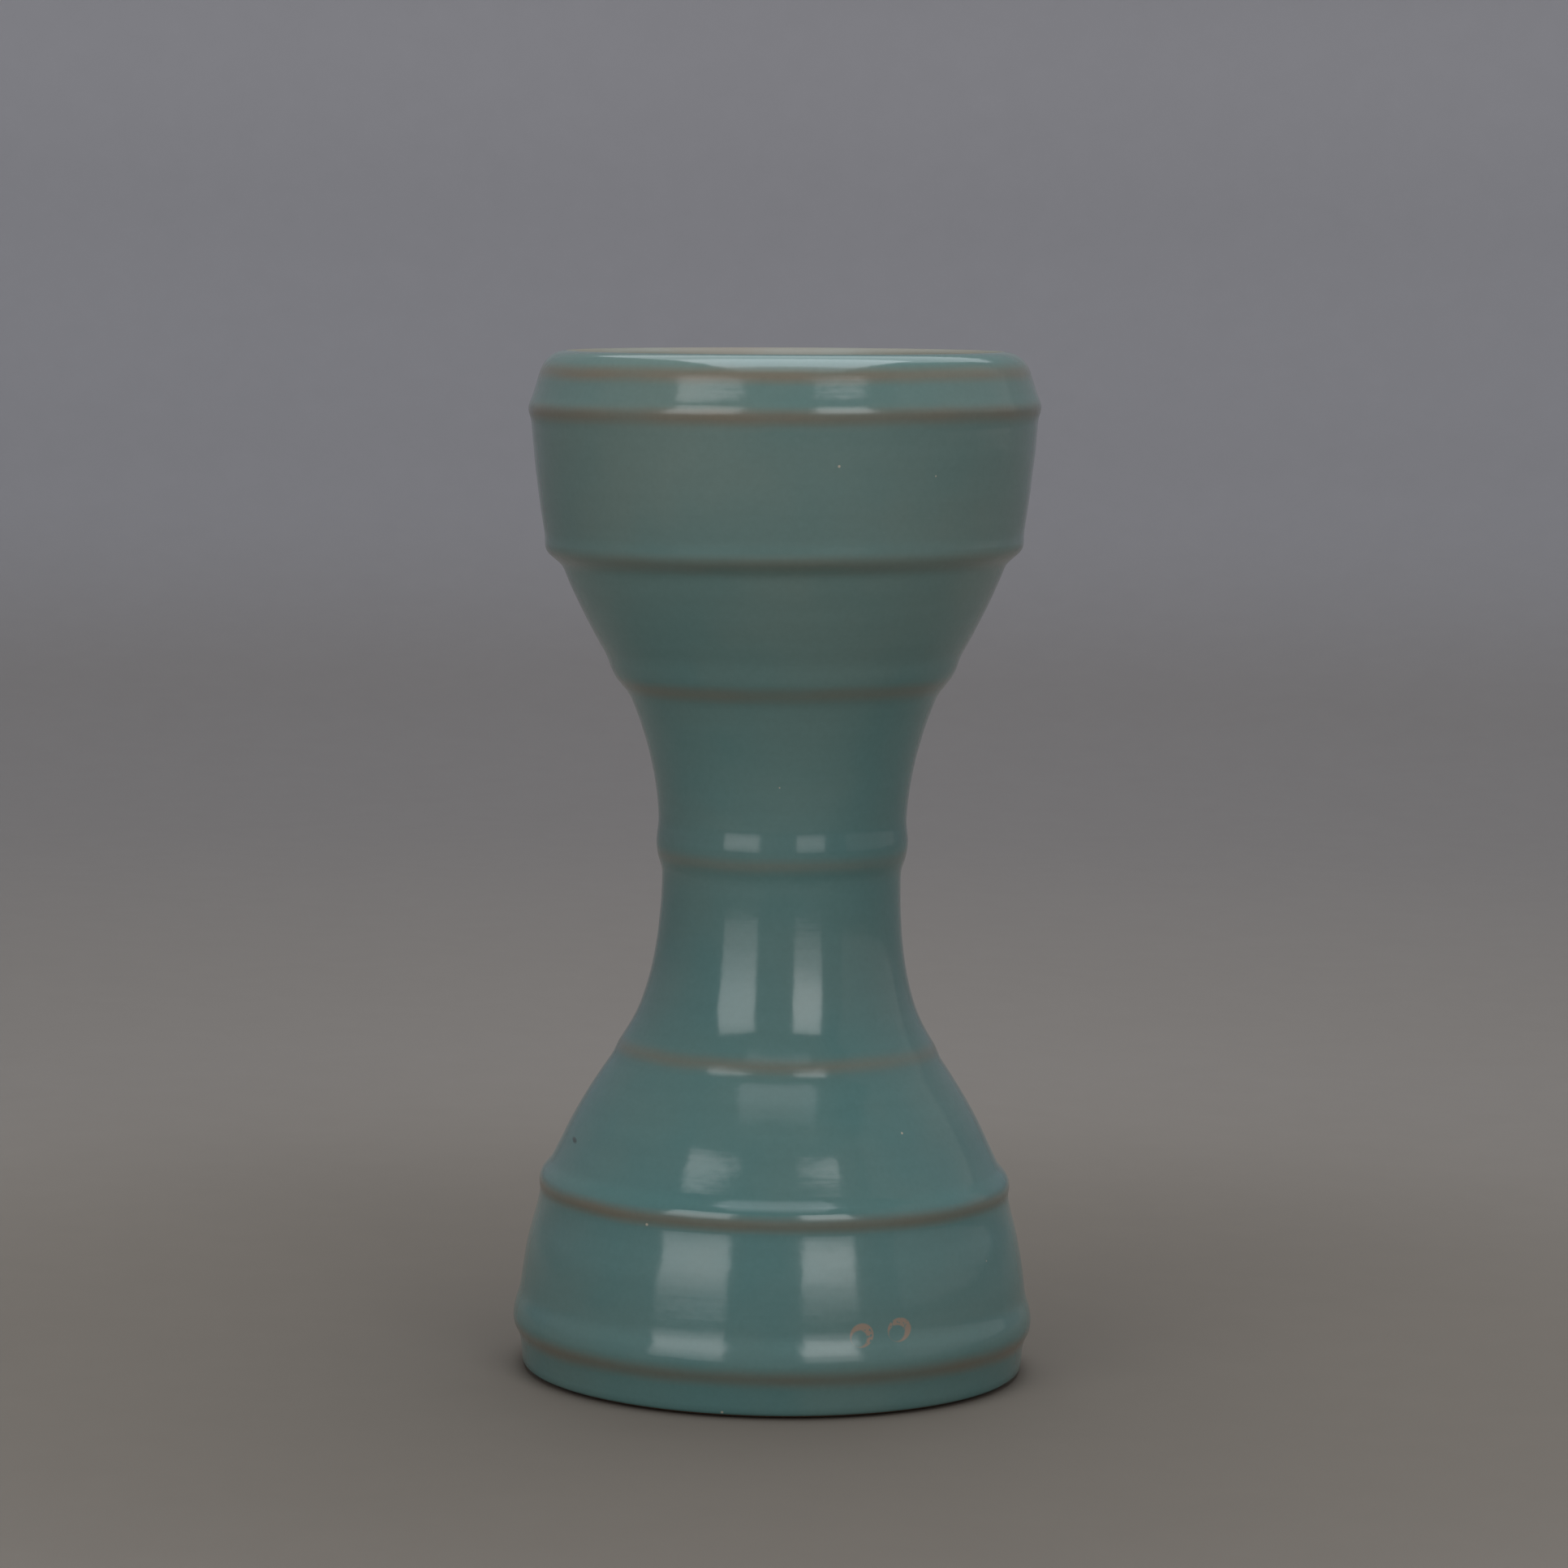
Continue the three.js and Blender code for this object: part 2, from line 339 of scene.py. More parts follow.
class VaseFinish(PropertyGroup):
    """The colours and the gloss of the vase."""

    celadon: FloatVectorProperty(
        name="Celadon",
        description="Main colour of the glaze",
        subtype="COLOR",
        size=3,
        min=0.0,
        max=1.0,
        default=(0.11, 0.24, 0.233),
    )
    grey_celadon: FloatVectorProperty(
        name="Grey celadon",
        description="Colour of the clouds in the glaze and of the cup",
        subtype="COLOR",
        size=3,
        min=0.0,
        max=1.0,
        default=(0.178, 0.262, 0.236),
    )
    thin_glaze: FloatVectorProperty(
        name="Thin glaze",
        description="Colour where the glaze runs thin over a ring",
        subtype="COLOR",
        size=3,
        min=0.0,
        max=1.0,
        default=(0.247, 0.189, 0.129),
    )
    lining: FloatVectorProperty(
        name="Lining",
        description="Colour of the glaze inside the vase",
        subtype="COLOR",
        size=3,
        min=0.0,
        max=1.0,
        default=(0.18, 0.26, 0.22),
    )
    clay: FloatVectorProperty(
        name="Clay",
        description="Colour of the fired stoneware",
        subtype="COLOR",
        size=3,
        min=0.0,
        max=1.0,
        default=(0.17, 0.098, 0.058),
    )
    flashed_clay: FloatVectorProperty(
        name="Flashed clay",
        description="Colour of the clay where the kiln has darkened it beside the glaze",
        subtype="COLOR",
        size=3,
        min=0.0,
        max=1.0,
        default=(0.07, 0.034, 0.02),
    )
    slip: FloatVectorProperty(
        name="Slip",
        description="Colour of the slip in the joints",
        subtype="COLOR",
        size=3,
        min=0.0,
        max=1.0,
        default=(0.27, 0.19, 0.125),
    )
    glaze_roughness: FloatProperty(
        name="Glaze roughness",
        description="Roughness of the glaze where it is thick",
        default=0.09,
        min=0.02,
        max=0.6,
        subtype="FACTOR",
    )
    line_strength: FloatProperty(
        name="Line strength",
        description="How brown the lines over the rings are",
        default=0.85,
        min=0.0,
        max=1.0,
        subtype="FACTOR",
    )


class VaseStudio(PropertyGroup):
    """The floor, the lights and the camera."""

    floor: FloatVectorProperty(
        name="Floor",
        description="Colour of the floor round the vase",
        subtype="COLOR",
        size=3,
        min=0.0,
        max=1.0,
        default=(0.308, 0.27, 0.228),
    )
    backdrop: FloatVectorProperty(
        name="Backdrop",
        description="Colour of the sweep behind the floor",
        subtype="COLOR",
        size=3,
        min=0.0,
        max=1.0,
        default=(0.506, 0.495, 0.517),
    )
    window_brightness: FloatProperty(
        name="Window brightness",
        description="Radiance of the two windows",
        default=2.2,
        min=0.0,
        max=20.0,
    )
    overhead_brightness: FloatProperty(
        name="Overhead brightness",
        description="Radiance of the soft light above",
        default=2.85,
        min=0.0,
        max=20.0,
    )
    back_brightness: FloatProperty(
        name="Back brightness",
        description="Radiance of the broad light above and behind the vase",
        default=1.0,
        min=0.0,
        max=20.0,
    )
    side_brightness: FloatProperty(
        name="Side brightness",
        description="Radiance of the pale panel to the right of the vase",
        default=0.13,
        min=0.0,
        max=20.0,
    )
    room_brightness: FloatProperty(
        name="Room brightness",
        description="Radiance of the room above the sweep",
        default=0.08,
        min=0.0,
        max=5.0,
    )
    camera_distance: FloatProperty(
        name="Camera distance",
        description="Distance of the camera in front of the vase's axis",
        default=0.9115,
        min=0.3,
        max=3.0,
        unit="LENGTH",
    )
    camera_height: FloatProperty(
        name="Camera height",
        description="Height of the camera above the floor",
        default=0.1992,
        min=0.02,
        max=2.0,
        unit="LENGTH",
    )
    camera_aside: FloatProperty(
        name="Camera aside",
        description="How far the camera stands to the right of the vase's axis",
        default=0.0005,
        min=-0.1,
        max=0.1,
        unit="LENGTH",
    )
    camera_pitch: FloatProperty(
        name="Camera pitch",
        description="How far the camera looks down",
        default=radians(5.803),
        min=radians(-45),
        max=radians(80),
        subtype="ANGLE",
    )
    camera_roll: FloatProperty(
        name="Camera roll",
        description="How far the camera is tipped to its left",
        default=radians(0.99),
        min=radians(-10),
        max=radians(10),
        subtype="ANGLE",
    )
    camera_lens: FloatProperty(
        name="Lens",
        description="Focal length of the camera on a sensor 36 mm wide, in millimetres",
        default=116.5,
        min=20.0,
        max=300.0,
    )


def soft_step(low, high, value):
    """How far a value has come from low to high, from 0 to 1, with soft ends."""
    share = min(max((value - low) / (high - low), 0.0), 1.0)
    return share * share * (3 - 2 * share)


def curve(start, corner, end, spacing):
    """Points along a curve that is pulled towards a corner, without its start."""
    pull = 2 / 3
    handles = start.lerp(corner, pull), end.lerp(corner, pull)
    steps = max(2, ceil(((corner - start).length + (end - corner).length) / spacing))
    return interpolate_bezier(start, *handles, end, steps + 1)[1:]


def over_to(side, crown, spacing):
    """A quarter of an ellipse from a side up and over to its crown, without the side."""
    wide, high = side.x - crown.x, crown.z - side.z
    steps = max(4, ceil(hypot(wide, high) * pi / (2 * 2**0.5) / spacing))
    angles = [(index + 1) / steps * pi / 2 for index in range(steps)]
    return [Vector((crown.x + wide * cos(angle), 0.0, side.z + high * sin(angle))) for angle in angles]


def outside_outline(spacing):
    """The outside outline, from the edge of the glaze above the foot ring up to the crest of the lip."""
    return [
        GLAZE_EDGE["outer"],
        FOOT_BAND_TOP,
        *curve(FOOT_BAND_TOP, FOOT_RIDGE["corner"], FOOT_RIDGE["bottom"], spacing),
        FOOT_RIDGE["top"],
        *curve(FOOT_RIDGE["top"], FOOT_FLARE["corner"], FOOT_FLARE["top"], spacing),
        *curve(FOOT_FLARE["top"], FOOT_HOLLOW["corner"], FOOT_HOLLOW["top"], spacing),
        *curve(FOOT_HOLLOW["top"], FOOT_BELL["corner"], FOOT_BELL["top"], spacing),
        *curve(FOOT_BELL["top"], SHOULDER_GROOVE["corner"], SHOULDER_GROOVE["top"], spacing),
        *curve(SHOULDER_GROOVE["top"], SHOULDER["corner"], SHOULDER["edge"], spacing),
        SHOULDER["top"],
        *curve(SHOULDER["top"], BELL_HOLLOW["corner"], BELL_HOLLOW["top"], spacing),
        *curve(BELL_HOLLOW["top"], LOWER_BELL["corner"], LOWER_BELL["top"], spacing),
        LOWER_RING_TOP,
        *curve(LOWER_RING_TOP, WAIST_FLARE["corner"], WAIST_FLARE["top"], spacing),
        *curve(WAIST_FLARE["top"], WAIST["corner"], WAIST["top"], spacing),
        WAIST_RING["bottom"],
        *curve(WAIST_RING["bottom"], WAIST_RING["corner"], WAIST_RING["crest"], spacing),
        *curve(WAIST_RING["crest"], WAIST_RING_FALL["corner"], WAIST_RING_FALL["top"], spacing),
        *curve(WAIST_RING_FALL["top"], NECK["corner"], NECK["top"], spacing),
        UPPER_RING["step"],
        *curve(UPPER_RING["step"], UPPER_RING["corner"], UPPER_RING["top"], spacing),
        *curve(UPPER_RING["top"], CUP["corner"], CUP["top"], spacing),
        CUP_RING["step"],
        *curve(CUP_RING["step"], CUP_RING["corner"], CUP_RING["top"], spacing),
        *curve(CUP_RING["top"], CUP_WALL["corner"], CUP_WALL["top"], spacing),
        *curve(CUP_WALL["top"], TOP_RING["corner"], TOP_RING["top"], spacing),
        *curve(TOP_RING["top"], COLLAR["corner"], COLLAR["top"], spacing),
        *curve(COLLAR["top"], LIP["corner"], LIP["crest"], spacing / 2),
    ]


def inside_outline(spacing):
    """The inside outline, from the crest of the lip down to the middle of the floor."""
    return [
        *reversed(over_to(LIP["inner"], LIP["crest"], spacing)),
        LIP["inner"],
        *curve(LIP["inner"], UNDER_LIP["corner"], UNDER_LIP["bottom"], spacing),
        *curve(UNDER_LIP["bottom"], CUP_INSIDE["corner"], CUP_INSIDE["bottom"], spacing),
        *curve(CUP_INSIDE["bottom"], CONE_INSIDE["corner"], CONE_INSIDE["bottom"], spacing),
        *curve(CONE_INSIDE["bottom"], NECK_INSIDE["corner"], NECK_INSIDE["bottom"], spacing),
        *curve(NECK_INSIDE["bottom"], WAIST_INSIDE["corner"], WAIST_INSIDE["bottom"], spacing),
        *curve(WAIST_INSIDE["bottom"], FLARE_INSIDE["corner"], FLARE_INSIDE["bottom"], spacing),
        *curve(FLARE_INSIDE["bottom"], BELL_INSIDE["corner"], BELL_INSIDE["bottom"], spacing),
        WALL_FOOT,
        *curve(WALL_FOOT, FLOOR_CORNER["corner"], FLOOR_CORNER["bottom"], spacing),
        FLOOR_MIDDLE,
    ]


def evenly(outline, spacing):
    """The outline with its long straight stretches divided."""
    points = [outline[0]]
    for start, end in zip(outline, outline[1:]):
        steps = max(1, round((end - start).length / spacing))
        points += [start.lerp(end, (index + 1) / steps) for index in range(steps)]
    return points


def softened(outline):
    """The outline with its corners rounded, as melted glaze rounds them. Its two ends stay."""
    triples = zip(outline, outline[1:], outline[2:])
    middle = [(before + 2 * point + after) / 4 for before, point, after in triples]
    return [outline[0], *middle, outline[-1]]


def direction(outline, index):
    """The direction of an outline at one of its points, level or upright at its two ends."""
    before, after = outline[max(index - 1, 0)], outline[min(index + 1, len(outline) - 1)]
    step = after - before
    if 0 < index < len(outline) - 1:
        return step.normalized()
    if abs(step.x) > abs(step.z):
        return Vector((1.0 if step.x > 0 else -1.0, 0.0, 0.0))
    return Vector((0.0, 0.0, 1.0 if step.z > 0 else -1.0))


def sunk(outline, depth):
    """The outline moved by a depth into the wall, which lies to the left of both outlines."""
    ways = [direction(outline, index) for index in range(len(outline))]
    return [point + depth * Vector((-way.z, 0.0, way.x)) for point, way in zip(outline, ways)]


def between(outline, low, high):
    """The stretch of an outline between two heights, cut level at each."""
    kept = [outline[0]] if low <= outline[0].z <= high else []
    for before, point in zip(outline, outline[1:]):
        levels = (low, high) if before.z < point.z else (high, low)
        for level in levels:
            if (before.z - level) * (point.z - level) < 0:
                kept.append(before.lerp(point, (level - before.z) / (point.z - before.z)))
        if low <= point.z <= high:
            kept.append(point)
    return kept


def clay_outlines(shape):
    """The outside and the inside of the clay, under the glaze."""
    depth = shape.glaze_thickness + shape.clearance
    outside = sunk(outside_outline(shape.hidden_spacing), depth)
    return outside, sunk(inside_outline(shape.hidden_spacing), depth)


def wall(outside, inside, low, high):
    """The clay wall between two heights, up the outside and down the inside."""
    return [*between(outside, low, high), *between(inside, low, high)]


def foot_outline(shape, outside, inside, high):
    """The bell foot, from its rounded foot ring up to a height, with a ledge inside for the floor."""
    depth = shape.glaze_thickness + shape.clearance
    fine = shape.surface_spacing / 4
    ring = FOOT_RING
    ledge = Vector((WALL_FOOT.x + depth, 0.0, RECESS["wall"].z))
    foot = [
        ring["outer"],
        *curve(ring["outer"], ring["outer_corner"], ring["outer_top"], fine),
        *between(outside, ring["outer_top"].z + fine, high),
        *between(inside, WALL_FOOT.z, high),
        ledge,
        RECESS["wall"],
        ring["inner_top"],
        *curve(ring["inner_top"], ring["inner_corner"], ring["inner"], fine),
    ]
    return evenly(foot, shape.hidden_spacing / 2)


def hand_turned(place, shape):
    """Where a place ends up once the vase has its lean, its sloping rings and the waves in its wall."""
    height = place.z / MM
    waist_lean = shape.waist_lean * soft_step(*WAIST_LEANS, height)
    lean = waist_lean - shape.mouth_lean * soft_step(*MOUTH_LEANS, height)
    levelled = soft_step(*LIP_LEVELS, height)
    slope = shape.ring_slope * soft_step(*RINGS_SLOPE, height) - shape.lip_levelling * levelled
    lip_radius = LIP["crest"].x
    drop = levelled * lip_radius * (shape.ring_slope - shape.lip_levelling)
    radius = hypot(place.x, place.y)
    moved = place.copy()
    if radius > TOUCHING:
        outwards = Vector((place.x, place.y, 0.0)) / radius
        wave = noise.noise(Vector((outwards.x, outwards.y, height / WAVE_HEIGHT)))
        moved -= outwards * shape.waver * (1 + wave) / 2 * min(1.0, radius / lip_radius)
    return moved + Vector((lean, 0.0, place.x * slope - drop))


def spun(outline, around, ring=False):
    """A mesh turned from an outline round the axis. For a ring, the outline's end joins its start."""
    turned = bmesh.new()
    chain = [turned.verts.new(point) for point in outline]
    for start, end in zip(chain, chain[1:]):
        turned.edges.new((start, end))
    if ring:
        turned.edges.new((chain[-1], chain[0]))
    bmesh.ops.spin(
        turned,
        geom=turned.verts[:] + turned.edges[:],
        cent=ORIGIN,
        axis=UP,
        angle=2 * pi,
        steps=around,
        use_merge=True,
    )
    bmesh.ops.remove_doubles(turned, verts=turned.verts[:], dist=TOUCHING)
    bmesh.ops.recalc_face_normals(turned, faces=turned.faces[:])
    return turned


def link_mesh(context, name, turned, material):
    """Makes a smooth object of a turned mesh, with one material, and frees the turned mesh."""
    for face in turned.faces:
        face.smooth = True
    mesh = bpy.data.meshes.new(name)
    turned.to_mesh(mesh)
    turned.free()
    mesh.materials.append(material)
    made = bpy.data.objects.new(name, mesh)
    context.scene.collection.objects.link(made)
    return made


def turned_piece(context, name, outline, around, material, node):
    """Turns an outline round the axis and puts the closed piece in the place of a node of the frame."""
    shape = context.scene.gu_vase_shape
    turned = spun(outline, around, ring=outline[0].x > TOUCHING)
    if not all(edge.is_manifold for edge in turned.edges):
        raise RuntimeError(f"{name} isn't closed")
    turned_place = turned.verts.layers.float_vector.new(TURNED_PLACE)
    for vertex in turned.verts:
        vertex[turned_place] = vertex.co
        vertex.co = hand_turned(vertex.co, shape)
    scale = shape.height / (DRAWN_HEIGHT * MM)
    bmesh.ops.scale(turned, vec=(scale, scale, scale), verts=turned.verts[:])
    for edge in turned.edges:
        edge.smooth = edge.calc_face_angle() < SHARP_ANGLE
    piece = link_mesh(context, name, turned, material)
    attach(piece, BODY)
    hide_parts(node)


class Signal:
    """A shader socket in an expression. Its operators add Math nodes to the recipe that it belongs to."""

    def __init__(self, recipe, socket):
        self.recipe = recipe
        self.socket = socket

    def math(self, operation, *values):
        return self.recipe.node("ShaderNodeMath", {"operation": operation}, dict(enumerate(values)))

    def __add__(self, other):
        return self.math("ADD", self, other)

    def __sub__(self, other):
        return self.math("SUBTRACT", self, other)

    def __rsub__(self, other):
        return self.math("SUBTRACT", other, self)

    def __mul__(self, other):
        return self.math("MULTIPLY", self, other)

    def __truediv__(self, other):
        return self.math("DIVIDE", self, other)

    __radd__ = __add__
    __rmul__ = __mul__

    def step(self, low, high):
        """How far the signal has come from low to high, from 0 to 1, with soft ends."""
        settings = {"interpolation_type": "SMOOTHSTEP"}
        inputs = {"Value": self, "From Min": low, "From Max": high}
        return self.recipe.node("ShaderNodeMapRange", settings, inputs)


def set_stops(ramp, stops):
    """Gives a ramp its stops, each a position and a grey level."""
    ramp.interpolation = "EASE"
    while len(ramp.elements) < len(stops):
        ramp.elements.new(1.0)
    for element, (position, level) in zip(ramp.elements, stops):
        element.position = position
        element.color = (level, level, level, 1.0)


class Recipe:
    """The nodes of a material or a light, and the one way that they are added."""

    def __init__(self, owner):
        owner.use_nodes = True
        self.owner = owner
        self.tree = owner.node_tree
        self.tree.nodes.clear()

    def node(self, kind, settings=None, inputs=None, output=0):
        """Adds a node with its settings, fills its sockets with values or links, and returns one output."""
        made = self.tree.nodes.new(kind)
        for setting, value in (settings or {}).items():
            if setting == "stops":
                set_stops(made.color_ramp, value)
            else:
                setattr(made, setting, value)
        for socket, value in (inputs or {}).items():
            if isinstance(value, Signal):
                self.tree.links.new(value.socket, made.inputs[socket])
            else:
                made.inputs[socket].default_value = value
        return Signal(self, made.outputs[output])

    def turned_place(self):
        """The place of a point before the vase got its lean and sloping rings, which patterns follow."""
        return self.node("ShaderNodeAttribute", {"attribute_name": TURNED_PLACE}, output="Vector")

    def part(self, vector, letter):
        return self.node("ShaderNodeSeparateXYZ", None, {"Vector": vector}, letter)

    def stretched(self, vector, scale):
        return self.node("ShaderNodeVectorMath", {"operation": "MULTIPLY"}, {0: vector, 1: scale})

    def radius(self, place):
        flat = self.stretched(place, (1.0, 1.0, 0.0))
        return self.node("ShaderNodeVectorMath", {"operation": "LENGTH"}, {0: flat}, "Value")

    def from_spot(self, place, across, up):
        """The distance from a spot on the front, seen from straight ahead, given in millimetres."""
        flat = self.stretched(place, (1.0, 0.0, 1.0))
        spot = (across * MM, 0.0, up * MM)
        return self.node("ShaderNodeVectorMath", {"operation": "DISTANCE"}, {0: flat, 1: spot}, "Value")

    def noise(self, place, size, detail=2.0, seed=0.0):
        """Smooth noise from 0 to 1 whose features are about a size across, in metres."""
        inputs = {"Vector": place, "W": seed, "Scale": 1 / size, "Detail": detail}
        return self.node("ShaderNodeTexNoise", {"noise_dimensions": "4D"}, inputs)

    def cells(self, place, size):
        """The distance from the middle of the nearest cell, as a part of the size of a cell in metres."""
        inputs = {"Vector": place, "Scale": 1 / size}
        return self.node("ShaderNodeTexVoronoi", {"feature": "F1"}, inputs, "Distance")

    def ramp(self, value, stops):
        """A grey level that follows a value from 0 to 1 by the stops of a ramp."""
        return self.node("ShaderNodeValToRGB", {"stops": stops}, {"Fac": value})

    def mix(self, share, first, second):
        """A colour between two, by a share from 0 to 1."""
        first, second = (
            (*colour, 1.0) if not isinstance(colour, Signal) else colour for colour in (first, second)
        )
        return self.node("ShaderNodeMix", {"data_type": "RGBA"}, {0: share, 6: first, 7: second}, 2)

    def brightened(self, colour, amount):
        """A colour times a grey amount."""
        settings = {"operation": "SCALE"}
        return self.node("ShaderNodeVectorMath", settings, {0: colour, "Scale": amount})

    def surface(self, colour, roughness, relief, depth, gloss=0.5):
        """Ends the recipe with the shader. Relief from 0 to 1 becomes bumps of a depth in metres."""
        bump = self.node("ShaderNodeBump", None, {"Strength": 1.0, "Distance": depth, "Height": relief})
        inputs = {"Base Color": colour, "Roughness": roughness, "Normal": bump, "Specular IOR Level": gloss}
        shader = self.node("ShaderNodeBsdfPrincipled", None, inputs)
        return self.end("ShaderNodeOutputMaterial", shader)

    def end(self, kind, shader):
        """Joins the shader to the output of the material or light, and returns what the recipe is for."""
        output = self.tree.nodes.new(kind)
        self.tree.links.new(shader.socket, output.inputs["Surface"])
        return self.owner


def line_stops(lines):
    """Ramp stops by height that rise to each line's strength and fall again."""
    stops = [(0.0, 0.0)]
    for height, half_height, strength in lines:
        steps = ((height - half_height, 0.0), (height, strength), (height + half_height, 0.0))
        stops += [(min(level / LINES_TOP, 1.0), share) for level, share in steps]
    return stops


def with_faults(recipe, place, glaze):
    """The glaze with the pinholes, the iron speck and the two burst bubbles on the front of the vase."""
    front = recipe.part(place, "Y").step(0.0, -0.002)
    for across, up in PINHOLES:
        pinhole = recipe.from_spot(place, across, up).step(*PINHOLE_EDGE)
        glaze = recipe.mix(pinhole * front, glaze, PINHOLE_COLOUR)
    speck = recipe.from_spot(place, *IRON_SPECK).step(*SPECK_EDGE)
    glaze = recipe.mix(speck * front * 0.65, glaze, IRON_COLOUR)
    ragged = recipe.noise(place, 0.0006, detail=4.0, seed=7.0).step(0.32, 0.46)
    left, below = HEALED_MIDDLE
    for across, up in BURST_BUBBLES:
        crater = recipe.from_spot(place, across, up).step(*CRATER_EDGE)
        healed = recipe.from_spot(place, across - left, up - below).step(*HEALED_EDGE)
        glaze = recipe.mix(crater * (1 - healed) * ragged * front * 0.9, glaze, BARE_CLAY_COLOUR)
    return glaze


def celadon(name, colour, finish, lines, faulty=False, line_roughness=0.12):
    """Opaque glaze with clouds and fine bubbles, greyer in the cup, which breaks to brown along lines."""
    recipe = Recipe(bpy.data.materials.new(name))
    place = recipe.turned_place()
    height = recipe.part(place, "Z")
    wander = (recipe.noise(place, 0.02, seed=1.0) - 0.5) * LINES_WANDER
    thinness = recipe.ramp(height / (LINES_TOP * MM) + wander, line_stops(lines))
    patches = recipe.noise(place, 0.03, seed=2.0).step(0.25, 0.7) * 0.5 + 0.5
    thin = thinness * patches * finish.line_strength
    clouds = recipe.noise(place, 0.035, detail=3.0, seed=3.0).step(0.35, 0.65)
    greyness = 0.42 * clouds + 0.58 * height.step(*GREYING)
    bubbles = recipe.noise(place, 0.0009, detail=3.0, seed=4.0)
    streaks = recipe.noise(recipe.stretched(place, (1.0, 1.0, 16.0)), 0.03, detail=3.0, seed=5.0)
    body = recipe.mix(greyness, colour, finish.grey_celadon)
    coloured = recipe.mix(thin, body, finish.thin_glaze)
    shade = 0.88 + 0.14 * bubbles + 0.1 * streaks
    pinhole = recipe.cells(place, 0.012).step(0.022, 0.014)
    glaze = recipe.mix(pinhole, recipe.brightened(coloured, shade), PINHOLE_COLOUR)
    if faulty:
        glaze = with_faults(recipe, place, glaze)
    peel = recipe.noise(place, 0.0022, detail=1.0, seed=6.0)
    relief = 0.55 * peel + 0.45 * streaks - 0.4 * pinhole
    roughness = finish.glaze_roughness + 0.05 * bubbles + line_roughness * thin
    return recipe.surface(glaze, roughness, relief, 0.00004, gloss=0.7)


def stoneware(name, finish):
    """Iron-brown clay with grit and turning marks, darkened by the kiln beside the glaze."""
    recipe = Recipe(bpy.data.materials.new(name))
    place = recipe.turned_place()
    height = recipe.part(place, "Z")
    rings = recipe.node("ShaderNodeCombineXYZ", None, {"X": recipe.radius(place), "Y": height})
    turning = recipe.noise(rings, 0.0007, detail=3.0, seed=1.0)
    blotches = recipe.noise(place, 0.006, detail=4.0, seed=2.0)
    grit = recipe.cells(place, 0.0011).step(0.32, 0.12)
    iron = recipe.cells(place, 0.0047).step(0.13, 0.05)
    flash = height.step(0.0002, 0.0014)
    clay = recipe.mix(flash, finish.clay, finish.flashed_clay)
    gritty = recipe.mix(grit * 0.45, clay, GRIT_COLOUR)
    speckled = recipe.mix(iron * 0.8, gritty, IRON_SPOT_COLOUR)
    shade = 0.75 + 0.3 * blotches + 0.2 * turning
    relief = 0.6 * turning + 0.4 * blotches + 0.3 * grit
    return recipe.surface(recipe.brightened(speckled, shade), 0.92 - 0.15 * flash, relief, 0.00012)


def brushed_slip(name, finish):
    """Smooth pale slip with the strokes of the brush that laid it on."""
    recipe = Recipe(bpy.data.materials.new(name))
    place = recipe.turned_place()
    strokes = recipe.noise(recipe.stretched(place, (1.0, 1.0, 9.0)), 0.004, detail=4.0, seed=1.0)
    grain = recipe.noise(place, 0.0005, detail=2.0, seed=2.0)
    shade = 0.8 + 0.25 * strokes + 0.15 * grain
    colour = recipe.mix(strokes, finish.slip, finish.clay)
    return recipe.surface(recipe.brightened(colour, shade), 0.85 + 0.1 * grain, strokes, 0.0001)


def paper_stops(levels):
    """Ramp stops for levels that go by the way from the vase."""
    return [(way / PAPER_END, level) for way, level in levels]


def seamless_paper(name, studio):
    """The matt pale floor, which turns into the cooler sweep behind it, with painted shade round the vase
    and painted light high on the wall.
    """
    recipe = Recipe(bpy.data.materials.new(name))
    place = recipe.node("ShaderNodeTexCoord", output="Object")
    way = (recipe.radius(place) + recipe.part(place, "Z")) / PAPER_END
    # Painted light and shade: the paper is darker round the vase and lighter high on the wall, by the way
    # from the vase
    painted_shading = recipe.ramp(way, paper_stops(PAPER_PAINTED_SHADING))
    coolness = recipe.ramp(way, paper_stops(PAPER_COOLNESS))
    fibres = recipe.noise(place, 0.012, detail=5.0, seed=1.0)
    colour = recipe.mix(coolness, studio.floor, studio.backdrop)
    shade = painted_shading * (0.97 + 0.06 * fibres)
    return recipe.surface(recipe.brightened(colour, shade), 0.8, fibres, 0.0001, gloss=0.2)


class GUVASE_OT_outer_glaze(Operator):
    """Turn the celadon coat over the outside of the vase"""

    bl_idname = "gu_vase.outer_glaze"
    bl_label = "Outer Glaze"

    def execute(self, context):
        shape, finish = context.scene.gu_vase_shape, context.scene.gu_vase_finish
        spacing = shape.surface_spacing
        edge = [GLAZE_EDGE["inner"], *curve(*GLAZE_EDGE.values(), spacing / 4)]
        front = softened(evenly(outside_outline(spacing), spacing))
        back = sunk(outside_outline(shape.hidden_spacing), shape.glaze_thickness)
        outline = [*edge, *front[1:], *reversed(back[1:])]
        material = celadon("celadon_glaze", finish.celadon, finish, OUTER_LINES, faulty=True)
        turned_piece(
            context, "celadon_coat", outline, shape.around, material, "outer_glaze"
        )
        return {"FINISHED"}


class GUVASE_OT_lining(Operator):
    """Turn the glaze that lines the inside of the vase"""

    bl_idname = "gu_vase.lining"
    bl_label = "Lining"

    def execute(self, context):
        shape, finish = context.scene.gu_vase_shape, context.scene.gu_vase_finish
        spacing = 1.3 * shape.surface_spacing
        front = softened(evenly(inside_outline(spacing), spacing))
        back = sunk(inside_outline(shape.hidden_spacing), shape.glaze_thickness)
        material = celadon("lining_glaze", finish.lining, finish, LINING_LINES, line_roughness=0.55)
        outline = [*reversed(back), *front]
        turned_piece(
            context, "poured_lining", outline, shape.around, material, "inner_glaze"
        )
        return {"FINISHED"}


